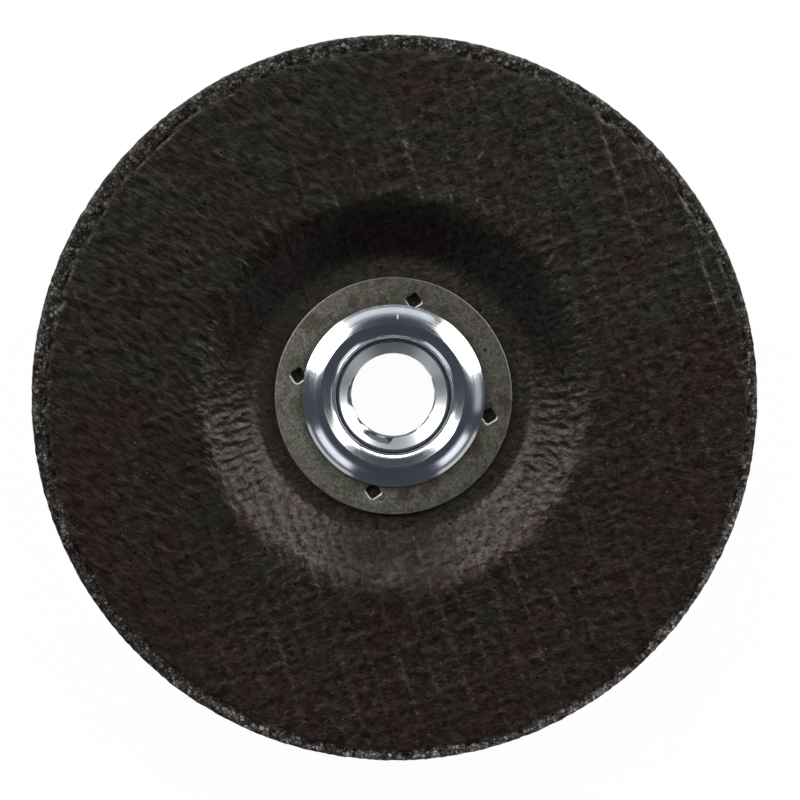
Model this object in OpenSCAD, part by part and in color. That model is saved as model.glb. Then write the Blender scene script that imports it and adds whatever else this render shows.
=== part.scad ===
// Depressed-centre grinding disc with a spin-on threaded hub.
// The hub axis is Z. The hub stands on its hexagon end at z = 0 and the grinding face looks up.

/* [Abrasive wheel] */
// Outside diameter of the abrasive wheel
wheel_d = 115; // [110:0.5:125]
// Thickness of the abrasive, the same at the rim and under the washer
wheel_t = 6.4; // [5:0.1:8]
// Depth of the recess floor below the grinding face
recess_depth = 4.6; // [4:0.1:5.5]
// Diameter of the flat recess floor, before its corner is rounded
recess_floor_d = 44; // [42:0.5:47]
// Diameter at which the recess slope reaches the grinding face
recess_mouth_d = 61; // [57:0.5:66]
// Diameter of the raised boss on the tool side
back_boss_d = 45; // [43:0.5:48]
// Radius that blends both ends of each slope
slope_fillet = 2.5; // [1:0.1:3.5]
// Diameter of the arbor hole through the abrasive
arbor_d = 22.23; // [21.8:0.01:23]
// Small radius on the corners of the rim
rim_round = 0.5; // [0.2:0.1:1]
// Mean width of the bare grit band outside the glass mesh that is moulded into the grinding face
band_w = 2; // [2:0.1:4]
// Height of the meshed face above that band
mesh_step = 0.15; // [0.05:0.05:0.4]
// Distance of the mesh centre from the wheel axis
mesh_offset = 0.7; // [0:0.1:1]
// Direction of that offset, counted from +X
mesh_offset_angle = -50; // [-180:5:180]
// Distance from one strand of the mesh to the next
strand_pitch = 4.33; // [3:0.01:6]
// Width of the ridge over a strand
strand_w = 1; // [0.6:0.1:1.6]
// Height of that ridge above the meshed face
strand_h = 0.15; // [0.05:0.05:0.3]
// Direction of the first set of strands, counted from +X
strand_angle = 18.5; // [0:0.5:90]
// Distance of the middle strands from the wheel axis
strand_shift = 0.6; // [0:0.1:3]
// Plain margin between the ridges and the mesh edge, and between them and the recess mouth
strand_margin = 1; // [0.5:0.1:2]

/* [Threaded hub] */
// Width across the flats of the hexagon end
hex_af = 22.2; // [21:0.1:25.4]
// Height of the hexagon end, from its face to the flange
hex_h = 8.5; // [6:0.5:12]
// Angle of the chamfer that trims the hexagon corners
hex_chamfer_angle = 30; // [20:5:45]
// Diameter of the flange and of the washer, which clamp the wheel between them
clamp_d = 37.8; // [36:0.1:40]
// Thickness of the flange
flange_t = 2.5; // [1.5:0.1:4]
// Radius on the tool-side edge of the flange
flange_round = 0.9; // [0.2:0.1:1.4]
// Radius on the wheel-side edge of the flange
flange_seat_round = 0.25; // [0.1:0.05:0.5]
// Minor diameter of the spindle thread, which is the bore wall
thread_minor_d = 13.5; // [13.2:0.05:13.8]
// Major diameter of the spindle thread
thread_major_d = 15.88; // [15.7:0.02:16]
// Radial gap between the hub shank and the arbor hole
shank_gap = 0.1; // [0.02:0.01:0.3]
// Wall of the shank neck that was spun outwards
neck_wall = 1.8; // [1.4:0.1:2]
// Reach of the spun lip over the washer, from the shank
lip_reach = 3.5; // [2.5:0.1:4]
// Distance of the lip's crown from the shank
crown_reach = 0.45; // [0.3:0.05:1]
// Height of the lip's crown above the washer
crown_h = 1.7; // [1.4:0.05:1.8]
// Thickness of the lip at its outer edge
lip_edge_t = 0.3; // [0.15:0.05:0.6]
// Radius of the crown
crown_round = 1.1; // [0.6:0.1:1.6]
// Slope of the lip where it leaves the crown on its outer side
shoulder_angle = 16; // [10:1:20]
// Slope of the funnel from the crown to the throat
funnel_angle = 17; // [12:1:22]
// Radius between the funnel and the throat wall
throat_round = 1.3; // [0.8:0.1:1.6]
// Depth of the thread mouth's rim below the washer's top
mouth_depth = 2.4; // [1.8:0.1:4]
// Slope of the mouth's cone, from its rim down to the thread
mouth_angle = 30; // [20:5:45]
// Width of the groove between the throat wall and the mouth
groove_w = 0.55; // [0.2:0.05:0.8]
// Depth of that groove below the mouth's rim
groove_depth = 0.5; // [0.2:0.1:1]
// Extra radius of the thread countersink at the hexagon face over the major radius
countersink_extra = 0.1; // [0.05:0.05:0.3]

/* [Retaining washer] */
// Thickness of the washer
washer_t = 1.1; // [0.8:0.1:1.6]
// Radial gap between the washer and the hub shank
washer_gap = 0.1; // [0.02:0.01:0.3]
// Radius on the washer's outer edges
washer_round = 0.2; // [0.1:0.05:0.4]
// Number of pierced holes
pierce_count = 4; // [3:1:6]
// Distance of the pierced holes' centres from the washer's outer edge
pierce_inset = 3.4; // [2.6:0.1:3.8]
// Direction of the first pierced hole, counted from +X
pierce_angle = 78; // [0:1:90]
// Side of each square pierced hole
pierce_side = 1.85; // [1.4:0.05:2.2]
// Corner radius of each pierced hole
pierce_round = 0.25; // [0.1:0.05:0.5]
// Length of the teeth that the piercing turned down
tooth_h = 0.9; // [0.4:0.1:1.4]
// Thickness of those teeth
tooth_t = 0.3; // [0.2:0.05:0.5]
// Gap round the teeth in the abrasive
tooth_gap = 0.05; // [0.02:0.01:0.15]

/* [Hidden] */

$fn = 96;
arc_steps = 6;
// Cutting tools run past the surface they cut by this much
past = 1;

// Levels along the axis
seat_z = hex_h + flange_t;
floor_z = seat_z + wheel_t;
face_z = floor_z + recess_depth;
mesh_z = face_z - strand_h;
rim_back_z = face_z - wheel_t;
washer_top_z = floor_z + washer_t;
crown_z = washer_top_z + crown_h;
mouth_z = washer_top_z - mouth_depth;

// Radii
wheel_r = wheel_d / 2;
floor_r = recess_floor_d / 2;
mouth_r = recess_mouth_d / 2;
boss_r = back_boss_d / 2;
boss_foot_r = boss_r + mouth_r - floor_r;
mesh_r = wheel_r - band_w;
mesh_centre = mesh_offset * [cos(mesh_offset_angle), sin(mesh_offset_angle)];
arbor_r = arbor_d / 2;
shank_r = arbor_r - shank_gap;
lip_r = shank_r + lip_reach;
crown_r = shank_r + crown_reach;
throat_r = shank_r - neck_wall;
hub_mouth_r = throat_r - groove_w;
minor_r = thread_minor_d / 2;
mouth_h = (hub_mouth_r - minor_r) * tan(mouth_angle);
countersink_r = thread_major_d / 2 + countersink_extra;
countersink_h = countersink_r - minor_r;
hex_corner_r = hex_af / sqrt(3);
clamp_r = clamp_d / 2;

// Points of an arc in the section plane
function arc(centre, r, from, to) =
    [for (i = [0:arc_steps]) let (a = from + (to - from) * i / arc_steps) centre + r * [cos(a), sin(a)]];

function unit(v) = v / norm(v);

// The arc that rounds corner b between a and c, no longer than its walls allow
function corner_arc(a, b, c, r) =
    let (
        u = unit(a - b),
        v = unit(c - b),
        half = acos(u * v) / 2,
        reach = min(r / tan(half), 0.45 * norm(a - b), 0.45 * norm(c - b)),
        fitted = reach * tan(half),
        centre = b + unit(u + v) * fitted / sin(half),
        start = b + u * reach - centre,
        end = b + v * reach - centre,
        first = atan2(start.y, start.x),
        turn = (180 - 2 * half) * sign(cross(start, end))
    )
    arc(centre, fitted, first, first + turn);

// An outline from corners given as [x, y, radius]
function rounded(corners) =
    let (n = len(corners))
    [for (i = [0:n - 1])
        let (p = corners[(i + n - 1) % n], q = corners[i], s = corners[(i + 1) % n])
        each q.z > 0 ? corner_arc([p.x, p.y], [q.x, q.y], [s.x, s.y], q.z) : [[q.x, q.y]]];

module at_pierced_holes() {
    for (i = [0:pierce_count - 1])
        rotate(pierce_angle + i * 360 / pierce_count)
            translate([clamp_r - pierce_inset, 0, 0])
                rotate(45)
                    children();
}

// Square outline on its centre with rounded corners
module rounded_square(side, r) {
    h = side / 2;
    polygon(rounded([[-h, -h, r], [h, -h, r], [h, h, r], [-h, h, r]]));
}

// Moulded section: flat boss, slope and rim behind, and the recess in front
module wheel_section() {
    polygon(rounded([
        [arbor_r, seat_z, 0],
        [boss_r, seat_z, slope_fillet],
        [boss_foot_r, rim_back_z, slope_fillet],
        [wheel_r, rim_back_z, rim_round],
        [wheel_r, mesh_z, rim_round],
        [mouth_r, mesh_z, slope_fillet],
        [floor_r, floor_z, slope_fillet],
        [arbor_r, floor_z, 0]
    ]));
}

// Ridges where the strands of the glass mesh press through the grit, in two sets at right angles
module mesh_ridges() {
    n = floor(mesh_r / strand_pitch);
    root_z = mesh_z - strand_h;
    intersection() {
        rotate(strand_angle)
            for (turn = [0, 90])
                rotate(turn)
                    for (i = [-n:n])
                        translate([-wheel_r, strand_shift + i * strand_pitch - strand_w / 2, root_z])
                            cube([wheel_d, strand_w, 2 * strand_h]);
        translate([0, 0, root_z - past])
            difference() {
                translate(mesh_centre) cylinder(h = 2 * strand_h + 2 * past, r = mesh_r - strand_margin);
                translate([0, 0, -past]) cylinder(h = 2 * strand_h + 4 * past, r = mouth_r + strand_margin);
            }
    }
}

// What is missing from the face outside the mesh: the bare grit band lies a little lower
module bare_band() {
    translate([0, 0, mesh_z - mesh_step])
        difference() {
            cylinder(h = mesh_step + past, r = wheel_r + past);
            translate([mesh_centre.x, mesh_centre.y, -past])
                cylinder(h = mesh_step + 3 * past, r = mesh_r);
        }
}

// The pockets that the washer's teeth have bitten into the recess floor
module tooth_pockets() {
    side = pierce_side + 2 * (tooth_t + tooth_gap);
    depth = tooth_h + tooth_gap;
    at_pierced_holes()
        translate([-side / 2, -side / 2, floor_z - depth])
            cube([side, side, depth + past]);
}

module abrasive_wheel() {
    color([0.15, 0.14, 0.13])
        difference() {
            union() {
                rotate_extrude() wheel_section();
                mesh_ridges();
            }
            bare_band();
            tooth_pockets();
        }
}

// Hexagon end, its corners trimmed by a cone at the free face
module hex_end() {
    trim_h = (hex_corner_r - hex_af / 2) * tan(hex_chamfer_angle);
    intersection() {
        cylinder(h = hex_h + flange_t / 2, r = hex_corner_r, $fn = 6);
        rotate_extrude()
            polygon([
                [0, 0],
                [hex_af / 2, 0],
                [hex_corner_r, trim_h],
                [hex_corner_r + past, trim_h],
                [hex_corner_r + past, seat_z],
                [0, seat_z]
            ]);
    }
}

// The lip's outer side: it leaves the crown at the shoulder angle and bends down to its edge
function lip_bend(start, end) =
    let (width = end.x - start.x, drop = start.y - end.y)
    [for (i = [1:arc_steps])
        let (t = i / arc_steps)
        [start.x + t * width, start.y - t * (1 - t) * width * tan(shoulder_angle) - t * t * drop]];

// Flange, shank and spun lip, turned about the axis
module hub_section() {
    crown = arc([crown_r, crown_z - crown_round], crown_round, 90, 90 - shoulder_angle);
    lip = lip_bend(crown[arc_steps], [lip_r, washer_top_z + lip_edge_t]);
    polygon(concat(
        rounded([
            [0, hex_h, 0],
            [clamp_r, hex_h, flange_round],
            [clamp_r, seat_z, flange_seat_round],
            [shank_r, seat_z, 0],
            [shank_r, washer_top_z, 0],
            [lip_r, washer_top_z, 0]
        ]),
        [for (i = [arc_steps - 1:-1:0]) lip[i]],
        [for (i = [arc_steps:-1:0]) crown[i]],
        [[0, crown_z]]
    ));
}

// Everything that is open along the axis: countersink, thread bore, mouth cone, groove, throat and funnel
module hub_passage() {
    crown_start = [crown_r, crown_z - crown_round] + crown_round * [-sin(funnel_angle), cos(funnel_angle)];
    funnel_w = crown_start.x - throat_r - throat_round * (1 - sin(funnel_angle));
    throat_top_z = crown_start.y - funnel_w * tan(funnel_angle) - throat_round * cos(funnel_angle);
    rotate_extrude()
        polygon(concat(
            [
                [0, -past],
                [countersink_r + past, -past],
                [minor_r, countersink_h],
                [minor_r, mouth_z - mouth_h],
                [hub_mouth_r, mouth_z],
                [hub_mouth_r, mouth_z - groove_depth],
                [throat_r, mouth_z - groove_depth]
            ],
            arc([throat_r + throat_round, throat_top_z], throat_round, 180, 90 + funnel_angle),
            arc([crown_r, crown_z - crown_round], crown_round, 90 + funnel_angle, 90),
            [[crown_r, crown_z + past], [0, crown_z + past]]
        ));
}

module threaded_hub() {
    color([0.72, 0.74, 0.77])
        difference() {
            union() {
                hex_end();
                rotate_extrude() hub_section();
            }
            hub_passage();
        }
}

// One tooth turned down along each side of a pierced hole
module pierced_teeth() {
    for (side = [0:3])
        rotate(90 * side)
            translate([0, pierce_side / 2 + tooth_t, 0])
                rotate([90, 0, 0])
                    linear_extrude(height = tooth_t)
                        polygon([
                            [-pierce_side / 2, washer_t / 2],
                            [-pierce_side / 2, 0],
                            [0, -tooth_h],
                            [pierce_side / 2, 0],
                            [pierce_side / 2, washer_t / 2]
                        ]);
}

module retaining_washer() {
    inner_r = shank_r + washer_gap;
    color([0.42, 0.42, 0.39])
        translate([0, 0, floor_z])
            difference() {
                union() {
                    rotate_extrude()
                        polygon(rounded([
                            [inner_r, 0, 0],
                            [clamp_r, 0, washer_round],
                            [clamp_r, washer_t, washer_round],
                            [inner_r, washer_t, 0]
                        ]));
                    at_pierced_holes() pierced_teeth();
                }
                at_pierced_holes()
                    translate([0, 0, -tooth_h - past])
                        linear_extrude(height = tooth_h + washer_t + 2 * past)
                            rounded_square(pierce_side, pierce_round);
            }
}

abrasive_wheel();
threaded_hub();
retaining_washer();
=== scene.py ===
import math

import bpy
import numpy as np
from mathutils import Matrix, Vector, noise


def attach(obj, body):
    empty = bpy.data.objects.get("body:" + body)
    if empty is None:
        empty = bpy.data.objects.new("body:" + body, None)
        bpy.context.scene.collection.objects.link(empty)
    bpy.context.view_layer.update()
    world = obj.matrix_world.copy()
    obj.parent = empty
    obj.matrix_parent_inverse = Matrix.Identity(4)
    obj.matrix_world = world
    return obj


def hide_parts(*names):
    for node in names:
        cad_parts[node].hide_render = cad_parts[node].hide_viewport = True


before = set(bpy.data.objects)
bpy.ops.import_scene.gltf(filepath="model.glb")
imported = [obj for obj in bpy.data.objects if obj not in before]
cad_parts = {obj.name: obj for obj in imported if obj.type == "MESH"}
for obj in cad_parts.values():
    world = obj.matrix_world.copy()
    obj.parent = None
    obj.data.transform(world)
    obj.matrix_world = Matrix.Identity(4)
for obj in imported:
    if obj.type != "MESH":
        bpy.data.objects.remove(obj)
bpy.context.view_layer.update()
mm = 0.001
print("frame loaded")

# levels shared by the three pieces, in mm: they are the CAD's own
seatZ = 11.0
floorZ = 17.4
washerTopZ = 18.5
faceZ = 21.85
crownZ = 20.2
shankR = 11.015
clampR = 18.9


def putDown():
    # back to object mode with nothing selected
    if bpy.context.object and bpy.context.object.mode != "OBJECT":
        bpy.ops.object.mode_set(mode="OBJECT")
    bpy.ops.object.select_all(action="DESELECT")


def takeUp(piece):
    putDown()
    piece.select_set(True)
    bpy.context.view_layer.objects.active = piece


def arcPoints(centre, radius, start, end, parts):
    turns = [math.radians(start + (end - start) * i / parts) for i in range(parts + 1)]
    return [(centre[0] + radius * math.cos(t), centre[1] + radius * math.sin(t)) for t in turns]


def roundCorner(before, corner, after, radius, parts):
    # the arc that replaces one corner of an outline
    a = (Vector(before) - Vector(corner)).normalized()
    b = (Vector(after) - Vector(corner)).normalized()
    half = a.angle(b) / 2
    centre = Vector(corner) + (a + b).normalized() * radius / math.sin(half)
    first = Vector(corner) + a * radius / math.tan(half) - centre
    last = Vector(corner) + b * radius / math.tan(half) - centre
    start = math.degrees(math.atan2(first.y, first.x))
    end = math.degrees(math.atan2(last.y, last.x))
    end += 360 if end - start < -180 else -360 if end - start > 180 else 0
    return arcPoints(centre, radius, start, end, parts)


def roundOutline(corners):
    # corners are (r, z, radius, parts of its arc)
    points = []
    for i, (r, z, radius, parts) in enumerate(corners):
        before, after = corners[i - 1][:2], corners[(i + 1) % len(corners)][:2]
        points += roundCorner(before, (r, z), after, radius, parts) if radius else [(r, z)]
    return points


def addRows(points, gapAt):
    # cuts the long stretches of a closed outline, so that the spun mesh has rows there
    filled = []
    for a, b in zip(points, points[1:] + points[:1]):
        parts = max(1, round(math.dist(a, b) / gapAt((a[0] + b[0]) / 2, (a[1] + b[1]) / 2)))
        filled += [(a[0] + (b[0] - a[0]) * i / parts, a[1] + (b[1] - a[1]) * i / parts) for i in range(parts)]
    return filled


def turnOutline(name, points, steps):
    # one vertex is walked round the outline and the outline is spun about the axis
    putDown()
    bpy.ops.mesh.primitive_plane_add(size=mm)
    piece = bpy.context.object
    piece.name = piece.data.name = name
    bpy.ops.object.mode_set(mode="EDIT")
    bpy.ops.mesh.select_mode(type="VERT")
    bpy.ops.mesh.select_all(action="SELECT")
    bpy.ops.mesh.merge(type="CENTER")
    bpy.ops.transform.translate(value=(points[0][0] * mm, 0, points[0][1] * mm))
    for a, b in zip(points, points[1:] + points[:1]):
        move = ((b[0] - a[0]) * mm, 0, (b[1] - a[1]) * mm)
        bpy.ops.mesh.extrude_vertices_move(TRANSFORM_OT_translate={"value": move})
    bpy.ops.mesh.select_all(action="SELECT")
    bpy.ops.mesh.remove_doubles(threshold=0.002 * mm)
    bpy.ops.mesh.spin(steps=steps, angle=math.tau, center=(0, 0, 0), axis=(0, 0, 1))
    bpy.ops.mesh.select_all(action="SELECT")
    bpy.ops.mesh.remove_doubles(threshold=0.002 * mm)
    bpy.ops.mesh.normals_make_consistent(inside=False)
    bpy.ops.object.mode_set(mode="OBJECT")
    return piece


def readPoints(piece):
    points = np.empty(len(piece.data.vertices) * 3)
    piece.data.vertices.foreach_get("co", points)
    return points.reshape(-1, 3) / mm


def readNormals(piece):
    normals = np.empty(len(piece.data.vertices) * 3)
    piece.data.vertex_normals.foreach_get("vector", normals)
    return normals.reshape(-1, 3)


def writePoints(piece, points):
    piece.data.vertices.foreach_set("co", (points * mm).ravel())
    piece.data.update()


def selectWhere(piece, kind, test):
    # goes into edit mode with the vertices, edges or faces selected whose vertices all pass the test
    takeUp(piece)
    mesh = piece.data
    for group in (mesh.vertices, mesh.edges, mesh.polygons):
        group.foreach_set("select", [False] * len(group))
    good = [test(v.co.x / mm, v.co.y / mm, v.co.z / mm) for v in mesh.vertices]
    if kind == "VERT":
        mesh.vertices.foreach_set("select", good)
    elif kind == "EDGE":
        mesh.edges.foreach_set("select", [all(good[v] for v in e.vertices) for e in mesh.edges])
    else:
        mesh.polygons.foreach_set("select", [all(good[v] for v in f.vertices) for f in mesh.polygons])
    bpy.ops.object.mode_set(mode="EDIT")
    bpy.ops.mesh.select_mode(type=kind)


def noiseField(points, size, shift, turn=0, stretch=1):
    # smooth noise of about -1 to 1, its grain `size` mm wide and `stretch` times as long along `turn` degrees
    c, s = math.cos(math.radians(turn)), math.sin(math.radians(turn))
    x = (points[:, 0] * c + points[:, 1] * s) / size / stretch
    y = (points[:, 1] * c - points[:, 0] * s) / size
    z = points[:, 2] / size + shift
    return np.array([noise.noise(p) for p in zip(x.tolist(), y.tolist(), z.tolist())])


def smoothStep(value, low, high):
    t = np.clip((value - low) / (high - low), 0, 1)
    return t * t * (3 - 2 * t)


def storeMask(piece, name, values):
    layer = piece.data.attributes.new(name, "FLOAT", "POINT")
    layer.data.foreach_set("value", values.astype(np.float32))


def shadeSmooth(piece, angle):
    takeUp(piece)
    bpy.ops.object.shade_smooth_by_angle(angle=math.radians(angle))


# abrasive wheel: one moulded piece, its mesh pressed into both faces
wheel = {
    "rim": 57.5, "rimRound": 0.5, "rimBackZ": 15.6, "mouth": 30.5, "recessFloor": 22.0, "slopeFillet": 2.5,
    "boss": 22.5, "bossFoot": 31.0, "arbor": 11.115, "steps": 360,
    "meshR": 55.5, "meshCentre": (0.45, -0.54), "bandDrop": 0.15, "offCentre": (0.154, -0.298),
    # direction in degrees, pitch, place of a crest, height and width of each set of strands
    "strands": [
        (108.65, 2.982, 0.98, 0.03, 0.33), (18.45, 2.966, 2.22, 0.06, 0.33),
        (110.0, 4.307, 0.62, 0.06, 0.38), (18.1, 4.346, 0.63, 0.13, 0.38),
    ],
    "wrinkle": 0.125, "grain": 0.045, "lumps": 0.26, "streaks": 0.045, "mouthRound": 7, "mouthWave": 0.16,
    "bandGrain": 0.17, "rimGrain": 0.13, "edgeGap": 0.16, "backGrain": 0.08,
}


def wheelGap(r, z):
    if r < 20 and z > 16:
        return 2.2  # under the washer
    if z > 15.7 and r > 18:
        return 0.88 if z > faceZ - 0.2 else 1.15
    return 1.25


def strandHeight(points, wobble, fade):
    total = np.zeros(len(points))
    for (turn, pitch, crest, height, width), shift in zip(wheel["strands"], wobble):
        a = math.radians(turn)
        along = points[:, 0] * math.cos(a) + points[:, 1] * math.sin(a) + shift - crest
        off = (along + pitch / 2) % pitch - pitch / 2
        total += height * np.exp(-((off / width) ** 2))
    return total * fade


def makeWheel():
    w = wheel
    outline = roundOutline([
        (w["arbor"], seatZ, 0, 0),
        (w["boss"], seatZ, w["slopeFillet"], 3),
        (w["bossFoot"], w["rimBackZ"], w["slopeFillet"], 3),
        (w["rim"], w["rimBackZ"], w["rimRound"], 2),
        (w["rim"], faceZ, w["rimRound"], 2),
        (w["mouth"], faceZ, w["mouthRound"], 4),
        (w["recessFloor"], floorZ, w["slopeFillet"], 2),
        (w["arbor"], floorZ, 0, 0),
    ])
    piece = turnOutline("abrasiveWheel", addRows(outline, wheelGap), w["steps"])

    # the side that shows gets twice the rows and steps
    inRim = w["rim"] - 0.5
    selectWhere(piece, "FACE", lambda x, y, z: math.hypot(x, y) > (18.5 if z > 17.3 else inRim))
    bpy.ops.mesh.subdivide(number_cuts=1)
    bpy.ops.object.mode_set(mode="OBJECT")

    points, normals = readPoints(piece), readNormals(piece)
    x, y, z = points.T
    r = np.hypot(x, y)
    front = smoothStep(normals[:, 2], 0.3, 0.8) * smoothStep(r, clampR + 0.3, clampR + 1.6) * (z > 16.5)
    back = smoothStep(-normals[:, 2], 0.3, 0.8) * smoothStep(r, clampR + 0.3, clampR + 2)
    side = smoothStep(np.hypot(normals[:, 0], normals[:, 1]), 0.5, 0.95) * (r > 50)

    # the mesh ends in a wavy line, a little off centre, with a broken gap along it: a shallow groove, painted near
    # black in the colour as its shade
    toMesh = np.hypot(x - w["meshCentre"][0], y - w["meshCentre"][1]) + 0.45 * noiseField(points, 5, 3) \
        + 0.3 * noiseField(points, 1.3, 4)
    meshed = 1 - smoothStep(toMesh, w["meshR"] - 0.25, w["meshR"] + 0.25)
    gap = np.exp(-(((toMesh - w["meshR"] - 0.1) / 0.3) ** 2)) * smoothStep(noiseField(points, 1.6, 5), -0.15, 0.2)
    level = smoothStep(r, w["mouth"] - 3, w["mouth"] + 2)

    wobble = [0.3 * noiseField(points, 11, 10 + i) for i in range(4)]
    fade = np.clip(0.75 + 0.9 * noiseField(points, 9, 20), 0.15, 1.3)
    left = smoothStep(-x * 0.9 + y * 0.35, 5, 30)
    strands = strandHeight(points, wobble, fade) * meshed * (0.25 + 0.75 * level) * (1 - 0.55 * left)

    # short wrinkles: they lie along the strands, and turn downhill on the left
    wrinkles = (1 - left) * noiseField(points, 0.8, 30, 18, 1.6)
    wrinkles += 1.15 * left * noiseField(points, 0.85, 31, -31, 3.0)
    wrinkles += 0.3 * noiseField(points, 1.8, 32)
    patchy = np.clip(0.7 + 0.8 * noiseField(points, 7, 33), 0.2, 1.3)
    grain = noiseField(points, 0.55, 34)
    coarse = noiseField(points, 0.8, 35) + 0.6 * noiseField(points, 1.7, 36)

    # streaks that run down the recess slope
    around = np.arctan2(y, x) * 26
    streaks = noiseField(np.column_stack([around, r / 2.5, z * 0]), 1.1, 40) * (1 - level) * smoothStep(r, 21, 24)

    # the slope is lumpy to the lower left and lower right, where the mesh was drawn down, and calm between
    turned = np.abs((np.degrees(np.arctan2(y, x)) + 270) % 360 - 180)
    onSlope = (1 - level) * smoothStep(r, 22.5, 24.5)
    lumpy = smoothStep(turned, 16, 34) * (1 - smoothStep(turned, 86, 112)) * onSlope
    calm = 1 - (0.65 * (1 - smoothStep(turned, 12, 30)) + 0.5 * lumpy) * onSlope
    lumps = (noiseField(points, 0.95, 42) + 0.5 * grain) * lumpy

    lift = front * (
        strands
        + meshed * calm * (w["wrinkle"] * wrinkles * patchy * (0.45 + 0.55 * level) + w["grain"] * grain)
        + (1 - meshed) * (w["bandGrain"] * coarse - w["bandDrop"])
        - w["edgeGap"] * gap
        + w["streaks"] * streaks
        + w["lumps"] * lumps
        + w["mouthWave"] * noiseField(points, 4, 41) * np.exp(-(((r - w["mouth"]) / 3) ** 2))
    )
    lift += side * w["rimGrain"] * noiseField(points, 0.9, 37)
    lift += back * (0.6 * strandHeight(points, wobble, fade) * (r > 32) + w["backGrain"] * coarse)
    points += normals * lift[:, None]
    points[:, :2] += smoothStep(r, 46, 57)[:, None] * np.array(w["offCentre"])
    writePoints(piece, points)

    bare = np.clip(side + front * (1 - meshed), 0, 1)
    storeMask(piece, "bareGrit", bare)
    storeMask(piece, "strand", np.clip(strands / 0.1, 0, 1) * front)
    storeMask(piece, "downhill", left)
    # the recess floor ring, marked to be painted lighter: painted light standing in for light that reaches it
    storeMask(piece, "litRecessFloor", 1 - smoothStep(r, 21.3, 24))
    flat = smoothStep(r, w["mouth"] - 3, w["mouth"] + 2.5) * (0.86 + 0.14 * smoothStep(r, 36, 50))
    storeMask(piece, "level", np.maximum(flat, 1 - smoothStep(r, 21.3, 24)))
    storeMask(piece, "rough", calm + 0.8 * lumpy)
    for name, i in (("weft", 2), ("warp", 3)):
        turn, pitch, crest = w["strands"][i][:3]
        a = math.radians(turn)
        storeMask(piece, name, x * math.cos(a) + y * math.sin(a) + wobble[i] - crest)
    storeMask(piece, "gap", gap * front)
    shadeSmooth(piece, 60)
    return piece


# threaded hub: its lip is spun over the washer
hub = {
    "steps": 288, "hexAcross": 22.2, "hexHeight": 8.5, "hexChamfer": 30,
    "minor": 6.75, "major": 7.94, "pitch": 25.4 / 11, "threadPhase": -0.99, "tapOut": (135, 271), "countersink": 8.04,
    "mouthZ": 16.1, "mouth": 8.665, "mouthAngle": 30, "grooveDepth": 0.5, "throat": 9.215,
    "throatRound": 1.3, "funnelAngle": 17, "crownRound": 1.1, "crownReach": 0.45, "shoulderAngle": 16,
    "lip": 14.515, "lipEdge": 0.3, "flangeRound": 0.9, "flangeSeatRound": 0.25,
}


def hubGap(r, z):
    if r < 8.1 and z < 16.2:
        return 0.07 if z > 13 else 0.165
    if r > 11.05 and z < 1.1:
        return 0.09
    if r > 12.5 and z < 8.5:
        return 1.9
    return 0.5


def hubOutline():
    h = hub
    corner = h["hexAcross"] / math.sqrt(3)
    trim = (corner - h["hexAcross"] / 2) * math.tan(math.radians(h["hexChamfer"]))
    sinkDepth = h["countersink"] - h["minor"]
    mouthDrop = (h["mouth"] - h["minor"]) * math.tan(math.radians(h["mouthAngle"]))
    crownR = shankR + h["crownReach"]
    inner, outer = math.radians(h["funnelAngle"]), math.radians(h["shoulderAngle"])
    startR = crownR - h["crownRound"] * math.sin(inner)
    startZ = crownZ - h["crownRound"] * (1 - math.cos(inner))
    width = startR - h["throat"] - h["throatRound"] * (1 - math.sin(inner))
    throatZ = startZ - width * math.tan(inner) - h["throatRound"] * math.cos(inner)

    points = [
        (h["countersink"], 0), (h["minor"], sinkDepth), (h["minor"], h["mouthZ"] - mouthDrop),
        (h["mouth"] - 0.08, h["mouthZ"] - 0.05), (h["mouth"], h["mouthZ"] - 0.1),
        (h["mouth"], h["mouthZ"] - h["grooveDepth"]), (h["throat"], h["mouthZ"] - h["grooveDepth"]),
    ]
    points += arcPoints((h["throat"] + h["throatRound"], throatZ), h["throatRound"], 180, 90 + h["funnelAngle"], 14)
    crown = (crownR, crownZ - h["crownRound"])
    points += arcPoints(crown, h["crownRound"], 90 + h["funnelAngle"], 90 - h["shoulderAngle"], 8)

    # the outer side of the lip bends down to its edge
    startR, startZ = points[-1]
    width, drop = h["lip"] - startR, startZ - washerTopZ - h["lipEdge"]
    for i in range(1, 18):
        t = i / 18
        points.append((startR + t * width, startZ - t * (1 - t) * width * math.tan(outer) - t * t * drop))
    points += [(h["lip"], washerTopZ + h["lipEdge"]), (h["lip"], washerTopZ), (shankR, washerTopZ), (shankR, seatZ)]
    points += roundCorner((shankR, seatZ), (clampR, seatZ), (clampR, h["hexHeight"]), h["flangeSeatRound"], 4)
    points += roundCorner((clampR, seatZ), (clampR, h["hexHeight"]), (shankR, h["hexHeight"]), h["flangeRound"], 6)
    points += [(corner, h["hexHeight"]), (corner, trim), (h["hexAcross"] / 2, 0)]
    return points, corner, trim


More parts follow.
